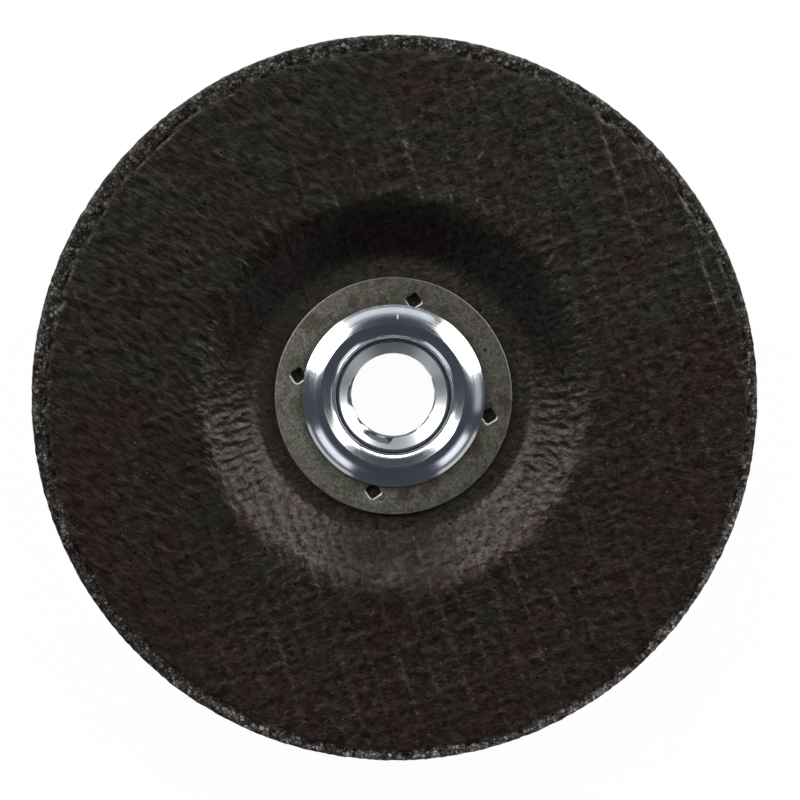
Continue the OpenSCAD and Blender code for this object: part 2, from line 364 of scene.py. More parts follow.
def makeHub():
    h = hub
    outline, corner, trim = hubOutline()
    piece = turnOutline("threadedHub", addRows(outline, hubGap), h["steps"])
    points = readPoints(piece)
    x, y, z = points.T
    r = np.hypot(x, y)
    angle = np.arctan2(y, x)

    # the hexagon: the rows of the outer wall move in to its flats, under the chamfer cone
    flat = h["hexAcross"] / 2
    third = math.radians(60)
    hexR = flat / np.cos((angle % third) - third / 2)
    coneR = flat + z / math.tan(math.radians(h["hexChamfer"]))
    outer = (z < h["hexHeight"] + 0.01) & (r > flat - 0.01) & (r < corner + 0.01)
    newR = np.where(outer, np.minimum(hexR, coneR), r)

    # the thread: one 60 degree groove that climbs the bore and runs out in the countersink and the mouth
    depth = h["major"] - h["minor"]
    groove = (z - angle / math.tau * h["pitch"] + h["threadPhase"]) % h["pitch"]
    threadR = h["minor"] + np.clip(depth - np.clip(np.abs(groove - h["pitch"] / 2) - h["pitch"] / 16, 0, 9)
                                   * math.sqrt(3), 0, depth)
    bore = (r < h["countersink"] + 0.01) & (z < h["mouthZ"] - 0.02)

    # it fades below the mouth, but for the part of a turn where the tap came out
    degrees = np.degrees(angle) % 360
    start, end = h["tapOut"]
    tail = smoothStep(degrees, start, start + 45) * (1 - smoothStep(degrees, end - 9, end + 1))
    cut = np.maximum(smoothStep(-z, -14.6, -13.2), tail)
    newR = np.where(bore, np.maximum(r, h["minor"] + (threadR - h["minor"]) * cut), newR)
    points[:, 0] *= newR / r
    points[:, 1] *= newR / r

    writePoints(piece, points)
    inCone = (r > h["minor"] + 0.05) & (r < h["mouth"] + 0.01)
    storeMask(piece, "cone", inCone & (z > 14.5) & (z < h["mouthZ"] + 0.01))
    # painted shade: the undercut below the throat and the thread's run-out are marked to be painted dark
    undercut = (r > h["mouth"] + 0.02) * (1 - smoothStep(r, h["throat"] + 0.25, h["throat"] + 0.5)) * (z < 18)
    runOut = np.clip((newR - r) / 0.12, 0, 1) * (z > 14) * bore
    storeMask(piece, "paintedShade", np.maximum(undercut, runOut))
    shadeSmooth(piece, 28)
    return piece


# retaining washer: a pressed ring whose four pierced holes leave teeth under it
washer = {
    "inner": 11.115, "edgeRound": 0.2, "holeRound": 0.3, "thickness": 1.1, "steps": 192,
    "holeCentre": 15.5, "firstHole": 78, "holes": 4, "holeSide": 1.95, "holeCorner": 0.42,
    "toothHeight": 0.9, "toothThickness": 0.3,
}


def holePlaces():
    w = washer
    for i in range(w["holes"]):
        turn = math.radians(w["firstHole"] + i * 360 / w["holes"])
        yield turn, (w["holeCentre"] * math.cos(turn), w["holeCentre"] * math.sin(turn))


def makeTooth():
    # one tooth that the piercing turned down: a triangle, pushed out to its thickness
    w = washer
    putDown()
    bpy.ops.mesh.primitive_plane_add(size=w["holeSide"] * mm)
    tooth = bpy.context.object
    bpy.ops.object.mode_set(mode="EDIT")
    selectWhere(tooth, "VERT", lambda x, y, z: y > 0)
    bpy.ops.transform.translate(value=(0, (w["thickness"] / 2 - w["holeSide"] / 2) * mm, 0))
    selectWhere(tooth, "VERT", lambda x, y, z: y < 0)
    bpy.ops.transform.translate(value=(0, w["holeSide"] / 2 * mm, 0))
    bpy.ops.mesh.extrude_edges_move(TRANSFORM_OT_translate={"value": (0, -w["toothHeight"] * mm, 0)})
    bpy.ops.mesh.merge(type="CENTER")
    bpy.ops.mesh.select_all(action="SELECT")
    bpy.ops.mesh.extrude_region_move(TRANSFORM_OT_translate={"value": (0, 0, w["toothThickness"] * mm)})
    bpy.ops.mesh.select_all(action="SELECT")
    bpy.ops.mesh.normals_make_consistent(inside=False)
    bpy.ops.object.mode_set(mode="OBJECT")
    return tooth


def makeWasher():
    w = washer
    top = washerTopZ * mm
    putDown()
    loops = []
    bpy.ops.mesh.primitive_circle_add(vertices=w["steps"], radius=clampR * mm, location=(0, 0, top))
    loops.append(bpy.context.object)
    bpy.ops.mesh.primitive_circle_add(vertices=w["steps"], radius=w["inner"] * mm, location=(0, 0, top))
    loops.append(bpy.context.object)
    for turn, (x, y) in holePlaces():
        bpy.ops.mesh.primitive_plane_add(size=w["holeSide"] * mm, location=(x * mm, y * mm, top),
                                         rotation=(0, 0, turn + math.pi / 4))
        bpy.ops.object.mode_set(mode="EDIT")
        bpy.ops.mesh.select_mode(type="VERT")
        bpy.ops.mesh.select_all(action="SELECT")
        bpy.ops.mesh.bevel(offset=w["holeCorner"] * mm, segments=5, affect="VERTICES")
        bpy.ops.mesh.select_all(action="SELECT")
        bpy.ops.mesh.delete(type="ONLY_FACE")
        bpy.ops.object.mode_set(mode="OBJECT")
        loops.append(bpy.context.object)
    putDown()
    for loop in loops:
        loop.select_set(True)
    bpy.context.view_layer.objects.active = loops[0]
    bpy.ops.object.join()
    piece = bpy.context.object
    piece.name = piece.data.name = "retainingWasher"
    bpy.ops.object.transform_apply(location=True, rotation=True, scale=True)
    bpy.ops.object.mode_set(mode="EDIT")
    bpy.ops.mesh.select_all(action="SELECT")
    bpy.ops.mesh.fill(use_beauty=True)
    bpy.ops.mesh.select_all(action="SELECT")
    bpy.ops.mesh.normals_make_consistent(inside=False)
    bpy.ops.object.mode_set(mode="OBJECT")
    if sum(f.normal.z for f in piece.data.polygons) < 0:
        bpy.ops.object.mode_set(mode="EDIT")
        bpy.ops.mesh.flip_normals()
        bpy.ops.object.mode_set(mode="OBJECT")
    thick = piece.modifiers.new("thickness", "SOLIDIFY")
    thick.thickness = w["thickness"] * mm
    thick.offset = -1
    thick.use_even_offset = False
    bpy.ops.object.modifier_apply(modifier="thickness")

    # rounded outer edges, and the rolled edges that the piercing punch left round the holes
    onRim = lambda x, y, z: math.hypot(x, y) > clampR - 0.02
    selectWhere(piece, "EDGE", onRim)
    bpy.ops.object.mode_set(mode="OBJECT")
    for e in piece.data.edges:
        a, b = (piece.data.vertices[v].co for v in e.vertices)
        e.select = e.select and abs(a.z - b.z) < 0.1 * mm
    bpy.ops.object.mode_set(mode="EDIT")
    bpy.ops.mesh.bevel(offset=w["edgeRound"] * mm, segments=4, affect="EDGES")
    centres = [c for _, c in holePlaces()]
    nearHole = lambda x, y, z: z > washerTopZ - 0.01 and any(math.dist((x, y), c) < 1.32 for c in centres)
    selectWhere(piece, "EDGE", nearHole)
    bpy.ops.mesh.bevel(offset=w["holeRound"] * mm, segments=5, affect="EDGES")
    bpy.ops.object.mode_set(mode="OBJECT")

    tooth = makeTooth()
    teeth = []
    for turn, (x, y) in holePlaces():
        for i in range(4):
            copy = tooth.copy()
            copy.data = tooth.data.copy()
            bpy.context.collection.objects.link(copy)
            place = Matrix.Translation((x * mm, y * mm, floorZ * mm)) @ Matrix.Rotation(
                turn + math.pi / 4 + i * math.pi / 2, 4, "Z")
            stand = Matrix.Translation((0, (w["holeSide"] / 2 + w["toothThickness"]) * mm, 0)) @ Matrix.Rotation(
                math.pi / 2, 4, "X")
            copy.matrix_world = place @ stand
            teeth.append(copy)
    bpy.data.objects.remove(tooth)
    putDown()
    for copy in teeth + [piece]:
        copy.select_set(True)
    bpy.context.view_layer.objects.active = piece
    bpy.ops.object.join()

    # the rolled edges of the holes and the rim are painted bright and made less rough: on the hole edges a painted
    # highlight, strongest where an edge faces +Y towards the light; on the rim an even, weaker painted highlight
    edgeHighlight = []
    for f in piece.data.polygons:
        rolled = 0.1 < f.normal.z < 0.99
        onRim = math.hypot(f.center.x, f.center.y) > (clampR - 0.5) * mm
        share = 0.22 if onRim else min(max(0.2 + 1.3 * f.normal.y - 0.5 * f.normal.x, 0.0), 0.9)
        edgeHighlight.append(share if rolled else 0.0)
    layer = piece.data.attributes.new("edgeHighlight", "FLOAT", "FACE")
    layer.data.foreach_set("value", edgeHighlight)
    shadeSmooth(piece, 40)
    return piece


def addNode(tree, kind, values=None, **options):
    node = tree.nodes.new(kind)
    for key, value in options.items():
        setattr(node, key, value)
    for key, value in (values or {}).items():
        node.inputs[key].default_value = value
    return node


def join(tree, source, output, target, socket):
    tree.links.new(source.outputs[output], target.inputs[socket])


def newMaterial(name):
    material = bpy.data.materials.new(name)
    material.use_nodes = True
    return material, material.node_tree, material.node_tree.nodes["Principled BSDF"]


def addRamp(tree, stops):
    ramp = tree.nodes.new("ShaderNodeValToRGB")
    parts = ramp.color_ramp.elements
    while len(parts) < len(stops):
        parts.new(0.5)
    for part, (place, colour) in zip(parts, stops):
        part.position = place
        part.color = (*colour, 1) if len(colour) == 3 else colour
    return ramp


def grey(value):
    return (value, value, value)


def addNoise(tree, place, size, detail=2, roughness=0.5, distortion=0):
    # noise whose grain is about `size` mm
    node = addNode(tree, "ShaderNodeTexNoise", {
        "Scale": 1 / (size * mm), "Detail": detail, "Roughness": roughness, "Distortion": distortion})
    join(tree, place, "Vector" if "Vector" in place.outputs else "Object", node, "Vector")
    return node


def mixColours(tree, factor, first, second, blend="MIX"):
    # factor, first and second are a value or (node, output)
    node = tree.nodes.new("ShaderNodeMix")
    node.data_type = "RGBA"
    node.blend_type = blend
    for socket, given in ((node.inputs[0], factor), (node.inputs[6], first), (node.inputs[7], second)):
        if isinstance(given, tuple) and hasattr(given[0], "outputs"):
            tree.links.new(given[0].outputs[given[1]], socket)
        elif isinstance(given, tuple):
            socket.default_value = (*given, 1)
        else:
            socket.default_value = given
    return node


abrasive = {
    "olive": (0.0025, 0.0022, 0.0014), "brown": (0.0041, 0.002, 0.0016), "strand": (0.0042, 0.0036, 0.0028),
    "litRecessFloor": (0.0085, 0.0075, 0.0058), "slopeTint": (1.0, 0.89, 0.81),
    "oliveTint": (1.0, 0.93, 0.75), "brownTint": (1.0, 0.71, 0.67),
    "roughness": (0.33, 0.45), "specular": (0.195, 0.62), "slopeShare": 0.53, "bump": 0.48,
    # the bare grit is painted paler towards the lower right: painted light standing in for light on that side
    "litGritTowards": (0.4, -0.92, 0),  # direction in which the bare grit gets paler
    # place across the strand, half width and depth of the dark crease beside it, painted shade on its shadow side,
    # and of its light ridge, a painted highlight; both also shape the bump
    "shadowCrease": (-0.55, 0.42, -0.075), "ridge": (0.05, 0.34, 0.05),
}


def addStretched(tree, place, size, turn, stretch, detail, distortion):
    # noise drawn out along one direction
    lay = addNode(tree, "ShaderNodeMapping", vector_type="TEXTURE")
    lay.inputs["Rotation"].default_value = (0, 0, math.radians(turn))
    lay.inputs["Scale"].default_value = (stretch, 1, 1)
    join(tree, place, "Object", lay, "Vector")
    return addNoise(tree, lay, size, detail, 0.6, distortion)


def addLine(tree, total, strand, shape, broken, waver, rare):
    # adds a thin line along each strand of one set to `total`; it wavers, comes and goes. In the colour the dark
    # crease is painted shade on the strand's shadow side and the light ridge a painted highlight; both also shape the
    # bump.
    name, pitch = strand
    aside, width, depth = shape
    across = addNode(tree, "ShaderNodeAttribute", attribute_name=name)
    moved = addNode(tree, "ShaderNodeMath", {1: 1.5}, operation="MULTIPLY_ADD")
    join(tree, waver, "Fac", moved, 0)
    join(tree, across, "Fac", moved, 2)
    placed = addNode(tree, "ShaderNodeMath", {1: -aside - 0.75}, operation="ADD")
    join(tree, moved, "Value", placed, 0)
    off = addNode(tree, "ShaderNodeMath", {1: pitch / 2}, operation="PINGPONG")
    join(tree, placed, "Value", off, 0)
    line = addNode(tree, "ShaderNodeMapRange", {"From Min": width, "From Max": 0.0, "To Max": depth},
                   interpolation_type="SMOOTHSTEP")
    join(tree, off, "Value", line, "Value")
    share = addNode(tree, "ShaderNodeMapRange", {"From Min": rare, "From Max": rare + 0.15})
    join(tree, broken, "Fac", share, "Value")
    added = addNode(tree, "ShaderNodeMath", operation="MULTIPLY_ADD")
    join(tree, line, "Result", added, 0)
    join(tree, share, "Result", added, 1)
    join(tree, total, "Value", added, 2)
    return added


def makeAbrasive():
    a = abrasive
    material, tree, shader = newMaterial("bondedAbrasive")
    place = tree.nodes.new("ShaderNodeTexCoord")
    strand = addNode(tree, "ShaderNodeAttribute", attribute_name="strand")
    bare = addNode(tree, "ShaderNodeAttribute", attribute_name="bareGrit")
    litRecessFloor = addNode(tree, "ShaderNodeAttribute", attribute_name="litRecessFloor")
    downhill = addNode(tree, "ShaderNodeAttribute", attribute_name="downhill")
    gap = addNode(tree, "ShaderNodeAttribute", attribute_name="gap")

    # olive and brown clouds, browner towards -Y
    parts = tree.nodes.new("ShaderNodeSeparateXYZ")
    join(tree, place, "Object", parts, "Vector")
    lower = addNode(tree, "ShaderNodeMapRange", {
        "From Min": 0.05, "From Max": -0.05, "To Min": -0.1, "To Max": 0.1})
    join(tree, parts, "Y", lower, "Value")
    tone = addNode(tree, "ShaderNodeMath", operation="ADD")
    join(tree, addNoise(tree, place, 11, 3), "Fac", tone, 0)
    join(tree, lower, "Result", tone, 1)
    toneRamp = addRamp(tree, [(0.4, a["olive"]), (0.6, a["brown"])])
    join(tree, tone, "Value", toneRamp, "Fac")

    # short creases and grains, which lie downhill on the left
    across = addStretched(tree, place, 0.8, 18, 1.35, 3, 0.6)
    down = addStretched(tree, place, 0.75, -31, 2.6, 3, 0.4)
    creases = mixColours(tree, (downhill, "Fac"), (across, "Fac"), (down, "Fac"))
    fine = addNoise(tree, place, 0.4, 2, 0.6)
    grains = addNode(tree, "ShaderNodeMath", {1: 0.35}, operation="MULTIPLY_ADD")
    join(tree, fine, "Fac", grains, 0)
    tree.links.new(creases.outputs[2], grains.inputs[2])
    waver = addNoise(tree, place, 2.2, 2)
    both = grains
    for name, i, size, turn, rare in (("weft", 2, 6, 20, 0.48), ("warp", 3, 4, 108, 0.42)):
        broken = addStretched(tree, place, size, turn, 2.5, 2, 0)
        for shape in (a["shadowCrease"], a["ridge"]):
            both = addLine(tree, both, (name, wheel["strands"][i][1]), shape, broken, waver, rare)
    grainRamp = addRamp(tree, [(0.5, grey(0.7)), (0.67, grey(1.0)), (0.86, grey(1.5))])
    join(tree, both, "Value", grainRamp, "Fac")
    colour = mixColours(tree, (strand, "Fac"), (toneRamp, "Color"), a["strand"])
    # painted light: the recess floor ring is painted lighter
    colour = mixColours(tree, (litRecessFloor, "Fac"), (colour, 2), a["litRecessFloor"])
    colour = mixColours(tree, 1.0, (colour, 2), (grainRamp, "Color"), "MULTIPLY")

    # bare grit: angular grains of many tones with dark gaps
    grit = addNode(tree, "ShaderNodeTexVoronoi", {"Scale": 1 / (0.6 * mm)})
    join(tree, place, "Object", grit, "Vector")
    gritGap = addNode(tree, "ShaderNodeTexVoronoi", {"Scale": 1 / (0.6 * mm)}, feature="DISTANCE_TO_EDGE")
    join(tree, place, "Object", gritGap, "Vector")
    each = tree.nodes.new("ShaderNodeSeparateColor")
    join(tree, grit, "Color", each, "Color")
    gritTone = addRamp(tree, [(0.0, (0.01, 0.0093, 0.0088)), (0.5, (0.038, 0.035, 0.033)),
                              (0.85, (0.075, 0.071, 0.067)), (1.0, (0.14, 0.136, 0.13))])
    join(tree, each, "Red", gritTone, "Fac")
    gritEdge = addRamp(tree, [(0.04, grey(0.12)), (0.16, grey(1.0))])
    join(tree, gritGap, "Distance", gritEdge, "Fac")
    gritColour = mixColours(tree, 1.0, (gritTone, "Color"), (gritEdge, "Color"), "MULTIPLY")
    # painted light: the bare grit is painted up to 2.4 times paler towards the lower right
    side = addNode(tree, "ShaderNodeVectorMath", operation="DOT_PRODUCT")
    side.inputs[1].default_value = a["litGritTowards"]
    join(tree, place, "Object", side, 0)
    paler = addNode(tree, "ShaderNodeMapRange", {
        "From Min": 17 * mm, "From Max": 53 * mm, "To Min": 0.78, "To Max": 2.4})
    join(tree, side, "Value", paler, "Value")
    gritColour = mixColours(tree, 1.0, (gritColour, 2), (paler, "Result"), "MULTIPLY")
    colour = mixColours(tree, (bare, "Fac"), (colour, 2), (gritColour, 2))
    # the gap is painted near black: painted shade of the step
    colour = mixColours(tree, (gap, "Fac"), (colour, 2), grey(0.001))

    # single grains painted bright as glints, a painted highlight, and small pits painted dark as their shade
    sparkle = addNode(tree, "ShaderNodeTexVoronoi", {"Scale": 1 / (0.62 * mm), "Randomness": 1.0})
    join(tree, place, "Object", sparkle, "Vector")
    chosen = tree.nodes.new("ShaderNodeSeparateColor")
    join(tree, sparkle, "Color", chosen, "Color")
    near = addNode(tree, "ShaderNodeMapRange", {"From Min": 0.22, "From Max": 0.08})
    join(tree, sparkle, "Distance", near, "Value")
    few = addNode(tree, "ShaderNodeMath", {1: 0.982}, operation="GREATER_THAN")
    join(tree, chosen, "Red", few, 0)
    paintedGlint = addNode(tree, "ShaderNodeMath", operation="MULTIPLY")
    join(tree, near, "Result", paintedGlint, 0)
    join(tree, few, "Value", paintedGlint, 1)
    colour = mixColours(tree, (paintedGlint, "Value"), (colour, 2), (0.09, 0.085, 0.078))
    pitted = addNode(tree, "ShaderNodeMath", {1: 0.014}, operation="LESS_THAN")
    join(tree, chosen, "Green", pitted, 0)
    wide = addNode(tree, "ShaderNodeMapRange", {"From Min": 0.4, "From Max": 0.24})
    join(tree, sparkle, "Distance", wide, "Value")
    pitShade = addNode(tree, "ShaderNodeMath", operation="MULTIPLY")
    join(tree, wide, "Result", pitShade, 0)
    join(tree, pitted, "Value", pitShade, 1)
    colour = mixColours(tree, (pitShade, "Value"), (colour, 2), grey(0.0012))
    tree.links.new(colour.outputs[2], shader.inputs["Base Color"])

    # resin skin on the creases shines, pits and gaps don't
    shine = addNode(tree, "ShaderNodeMapRange", {
        "From Min": 0.5, "From Max": 0.85, "To Min": a["specular"][0], "To Max": a["specular"][1]})
    join(tree, both, "Value", shine, "Value")
    hollow = addNode(tree, "ShaderNodeMath", operation="MAXIMUM")
    join(tree, pitShade, "Value", hollow, 0)
    join(tree, gap, "Fac", hollow, 1)
    kept = addNode(tree, "ShaderNodeMath", {0: 1.0}, operation="SUBTRACT")
    join(tree, hollow, "Value", kept, 1)
    level = addNode(tree, "ShaderNodeMath", operation="MULTIPLY")
    join(tree, shine, "Result", level, 0)
    join(tree, kept, "Value", level, 1)

    # the pressed level parts shine more than the recess slope, bare grit least
    flatness = addNode(tree, "ShaderNodeAttribute", attribute_name="level")
    polish = addNode(tree, "ShaderNodeMapRange", {"To Min": a["slopeShare"], "To Max": 1.0})
    join(tree, flatness, "Fac", polish, "Value")
    rubbed = addNode(tree, "ShaderNodeMath", operation="MULTIPLY")
    join(tree, level, "Value", rubbed, 0)
    join(tree, polish, "Result", rubbed, 1)
    blunt = addNode(tree, "ShaderNodeMapRange", {"To Min": 1.0, "To Max": 0.3})
    join(tree, bare, "Fac", blunt, "Value")
    final = addNode(tree, "ShaderNodeMath", operation="MULTIPLY")
    join(tree, rubbed, "Value", final, 0)
    join(tree, blunt, "Result", final, 1)
    join(tree, final, "Value", shader, "Specular IOR Level")
    tintRamp = addRamp(tree, [(0.4, a["oliveTint"]), (0.6, a["brownTint"])])
    join(tree, tone, "Value", tintRamp, "Fac")
    tint = mixColours(tree, (flatness, "Fac"), a["slopeTint"], (tintRamp, "Color"))
    tree.links.new(tint.outputs[2], shader.inputs["Specular Tint"])
    gloss = addNode(tree, "ShaderNodeMapRange", {
        "From Min": 0.3, "From Max": 0.7, "To Min": a["roughness"][0], "To Max": a["roughness"][1]})
    join(tree, addNoise(tree, place, 1.4, 3), "Fac", gloss, "Value")
    join(tree, gloss, "Result", shader, "Roughness")

    rough = addNode(tree, "ShaderNodeAttribute", attribute_name="rough")
    strength = addNode(tree, "ShaderNodeMath", {1: a["bump"]}, operation="MULTIPLY")
    join(tree, rough, "Fac", strength, 0)
    bump = addNode(tree, "ShaderNodeBump", {"Distance": 0.3 * mm})
    join(tree, strength, "Value", bump, "Strength")
    join(tree, both, "Value", bump, "Height")
    join(tree, bump, "Normal", shader, "Normal")
    return material


def addTurning(tree, place, size, detail=2):
    # noise that runs in rings round the axis, as turning marks do
    parts = tree.nodes.new("ShaderNodeSeparateXYZ")
    join(tree, place, "Object", parts, "Vector")
    flat = tree.nodes.new("ShaderNodeCombineXYZ")
    join(tree, parts, "X", flat, "X")
    join(tree, parts, "Y", flat, "Y")
    out = addNode(tree, "ShaderNodeVectorMath", operation="LENGTH")
    join(tree, flat, "Vector", out, "Vector")
    ring = tree.nodes.new("ShaderNodeCombineXYZ")
    join(tree, out, "Value", ring, "X")
    join(tree, parts, "Z", ring, "Y")
    return addNoise(tree, ring, size, detail)


zinc = {"colour": (0.84, 0.86, 0.89), "tint": (0.76, 0.79, 0.83), "roughness": (0.1, 0.19),
        "paintedShade": (0.2, 0.21, 0.22), "machined": (0.56, 0.585, 0.61), "coneRoughness": 0.35,
        "scratch": (0.65, 12.6, 19.6), "bump": 0.16}


def makeZinc():
    m = zinc
    material, tree, shader = newMaterial("zincPlatedSteel")
    place = tree.nodes.new("ShaderNodeTexCoord")
    rings = addTurning(tree, place, 0.35, 3)
    cloud = addNoise(tree, place, 3.5, 3)
    cloudRamp = addRamp(tree, [(0.35, m["colour"]), (0.65, m["tint"])])
    join(tree, cloud, "Fac", cloudRamp, "Fac")
    # painted shade: the undercut and the thread run-out are painted dark
    paintedShade = addNode(tree, "ShaderNodeAttribute", attribute_name="paintedShade")
    machined = addNode(tree, "ShaderNodeAttribute", attribute_name="cone")
    colour = mixColours(tree, (machined, "Fac"), (cloudRamp, "Color"), m["machined"])
    colour = mixColours(tree, (paintedShade, "Fac"), (colour, 2), m["paintedShade"])
    tree.links.new(colour.outputs[2], shader.inputs["Base Color"])
    shader.inputs["Metallic"].default_value = 1
    gloss = addNode(tree, "ShaderNodeMapRange", {
        "From Min": 0.3, "From Max": 0.7, "To Min": m["roughness"][0], "To Max": m["roughness"][1]})
    join(tree, rings, "Fac", gloss, "Value")

    # the machined mouth is duller, and so is a short scratch on the lip
    cone = addNode(tree, "ShaderNodeAttribute", attribute_name="cone")
    along = addNode(tree, "ShaderNodeMapping", {"Scale": (1 / (0.16 * mm), 1 / (0.55 * mm), 1 / (3 * mm))})
    along.inputs["Location"].default_value = tuple(
        -p / s for p, s in zip(m["scratch"], (0.16, 0.55, 3)))
    join(tree, place, "Object", along, "Vector")
    far = addNode(tree, "ShaderNodeVectorMath", operation="LENGTH")
    join(tree, along, "Vector", far, 0)
    scratch = addNode(tree, "ShaderNodeMapRange", {"From Min": 1.4, "From Max": 0.4})
    join(tree, far, "Value", scratch, "Value")
    either = addNode(tree, "ShaderNodeMath", operation="MAXIMUM")
    join(tree, cone, "Fac", either, 0)
    join(tree, scratch, "Result", either, 1)
    duller = addNode(tree, "ShaderNodeMix")
    join(tree, either, "Value", duller, "Factor")
    join(tree, gloss, "Result", duller, "A")
    duller.inputs["B"].default_value = m["coneRoughness"]
    join(tree, duller, "Result", shader, "Roughness")
    bump = addNode(tree, "ShaderNodeBump", {"Strength": m["bump"], "Distance": 0.03 * mm})
    join(tree, rings, "Fac", bump, "Height")
    join(tree, bump, "Normal", shader, "Normal")
    return material


dull = {"olive": (0.067, 0.068, 0.047), "grey": (0.1, 0.096, 0.084), "brown": (0.056, 0.046, 0.037),
        "roughness": (0.42, 0.6), "edgeHighlight": (0.36, 0.36, 0.34), "speck": (14.6, 7.3, 18.5), "paler": (1.42, 0.8)}


def makeDull():
    m = dull
    material, tree, shader = newMaterial("dullSteel")
    place = tree.nodes.new("ShaderNodeTexCoord")
    cloud = addNoise(tree, place, 3.2, 4, 0.6)
    cloudRamp = addRamp(tree, [(0.38, m["olive"]), (0.5, m["grey"]), (0.62, m["brown"])])
    join(tree, cloud, "Fac", cloudRamp, "Fac")
    speckle = addNoise(tree, place, 0.45, 3, 0.7)
    speckleRamp = addRamp(tree, [(0.33, grey(0.5)), (0.5, grey(1.0)), (0.68, grey(1.55))])
    join(tree, speckle, "Fac", speckleRamp, "Fac")
    colour = mixColours(tree, 1.0, (cloudRamp, "Color"), (speckleRamp, "Color"), "MULTIPLY")

    # paler towards the lower left, painted shade beside the lip, painted highlights on its rolled edges, one dark
    # speck
    side = addNode(tree, "ShaderNodeVectorMath", operation="DOT_PRODUCT")
    side.inputs[1].default_value = (-0.82, -0.57, 0)
    join(tree, place, "Object", side, 0)
    paler = addNode(tree, "ShaderNodeMapRange", {
        "From Min": -17 * mm, "From Max": 17 * mm, "To Min": m["paler"][1], "To Max": m["paler"][0]})
    join(tree, side, "Value", paler, "Value")
    colour = mixColours(tree, 1.0, (colour, 2), (paler, "Result"), "MULTIPLY")
    out = addNode(tree, "ShaderNodeVectorMath", operation="LENGTH")
    join(tree, place, "Object", out, 0)
    # painted shade beside the lip
    lipShade = addNode(tree, "ShaderNodeMapRange", {
        "From Min": 23.6 * mm, "From Max": 24.6 * mm, "To Min": 0.62, "To Max": 1.0})
    join(tree, out, "Value", lipShade, "Value")
    colour = mixColours(tree, 1.0, (colour, 2), (lipShade, "Result"), "MULTIPLY")
    edgeHighlight = addNode(tree, "ShaderNodeAttribute", attribute_name="edgeHighlight")
    colour = mixColours(tree, (edgeHighlight, "Fac"), (colour, 2), m["edgeHighlight"])
    away = addNode(tree, "ShaderNodeVectorMath", operation="DISTANCE")
    away.inputs[1].default_value = tuple(p * mm for p in m["speck"])
    join(tree, place, "Object", away, 0)
    speck = addNode(tree, "ShaderNodeMapRange", {"From Min": 0.34 * mm, "From Max": 0.24 * mm})
    join(tree, away, "Value", speck, "Value")
    colour = mixColours(tree, (speck, "Result"), (colour, 2), grey(0.012))
    tree.links.new(colour.outputs[2], shader.inputs["Base Color"])
    shader.inputs["Metallic"].default_value = 0.75
    gloss = addNode(tree, "ShaderNodeMapRange", {
        "From Min": 0.3, "From Max": 0.7, "To Min": m["roughness"][0], "To Max": m["roughness"][1]})
    join(tree, speckle, "Fac", gloss, "Value")
    rubbed = addNode(tree, "ShaderNodeMath", {1: -0.2}, operation="MULTIPLY_ADD")
    join(tree, edgeHighlight, "Fac", rubbed, 0)
    join(tree, gloss, "Result", rubbed, 2)
    join(tree, rubbed, "Value", shader, "Roughness")
    bump = addNode(tree, "ShaderNodeBump", {"Strength": 0.35, "Distance": 0.05 * mm})
    join(tree, speckle, "Fac", bump, "Height")
    join(tree, bump, "Normal", shader, "Normal")
    return material


def setMaterial(piece, material):
    piece.data.materials.clear()
    piece.data.materials.append(material)


wheelPiece = makeWheel()
print("abrasive wheel", len(wheelPiece.data.polygons))
hubPiece = makeHub()
print("threaded hub", len(hubPiece.data.polygons))
washerPiece = makeWasher()
print("retaining washer", len(washerPiece.data.polygons))
setMaterial(wheelPiece, makeAbrasive())
setMaterial(hubPiece, makeZinc())
setMaterial(washerPiece, makeDull())
print("materials")

for piece, node, slot in ((wheelPiece, "abrasive_wheel", "bonded_abrasive"),
                          (hubPiece, "threaded_hub", "zinc_plated_steel"),
                          (washerPiece, "retaining_washer", "dull_steel")):
    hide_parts(node)
    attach(piece, "root")

# floor: pale, and seen as white, with the object's shadow kept
studio = {"floorSize": 6.0, "floorColour": grey(0.8), "whiteShare": 0.97, "whiteInBore": 0.2,
          "zenith": (0.043, 0.05, 0.065), "low": (0.056, 0.063, 0.074), "horizon": (0.15, 0.16, 0.17)}


def makeFloor():
    putDown()
    bpy.ops.mesh.primitive_plane_add(size=studio["floorSize"])
    floor = bpy.context.object
    floor.name = "floor"
    material, tree, shader = newMaterial("paleFloor")
    shader.inputs["Base Color"].default_value = (*studio["floorColour"], 1)
    shader.inputs["Roughness"].default_value = 0.9
    shader.inputs["Specular IOR Level"].default_value = 0.0
    white = addNode(tree, "ShaderNodeEmission")
    rays = tree.nodes.new("ShaderNodeLightPath")
    place = tree.nodes.new("ShaderNodeTexCoord")
    away = addNode(tree, "ShaderNodeVectorMath", operation="LENGTH")
    join(tree, place, "Object", away, 0)
    under = addNode(tree, "ShaderNodeMapRange", {
        "From Min": 9 * mm, "From Max": 7 * mm, "To Min": 1.0, "To Max": studio["whiteInBore"]})
    join(tree, away, "Value", under, "Value")
    strength = addNode(tree, "ShaderNodeMapRange", {"To Min": 1.0})
    join(tree, rays, "Is Glossy Ray", strength, "Value")
    join(tree, under, "Result", strength, "To Max")
    join(tree, strength, "Result", white, "Strength")
    seen = addNode(tree, "ShaderNodeMath", operation="MAXIMUM")
    join(tree, rays, "Is Camera Ray", seen, 0)
    join(tree, rays, "Is Glossy Ray", seen, 1)
    seenToo = addNode(tree, "ShaderNodeMath", operation="MAXIMUM")
    join(tree, seen, "Value", seenToo, 0)
    join(tree, rays, "Is Transmission Ray", seenToo, 1)
    share = addNode(tree, "ShaderNodeMath", {1: studio["whiteShare"]}, operation="MULTIPLY")
    join(tree, seenToo, "Value", share, 0)
    blend = tree.nodes.new("ShaderNodeMixShader")
    join(tree, share, "Value", blend, "Fac")
    tree.links.new(shader.outputs["BSDF"], blend.inputs[1])
    tree.links.new(white.outputs["Emission"], blend.inputs[2])
    join(tree, blend, "Shader", tree.nodes["Material Output"], "Surface")
    setMaterial(floor, material)


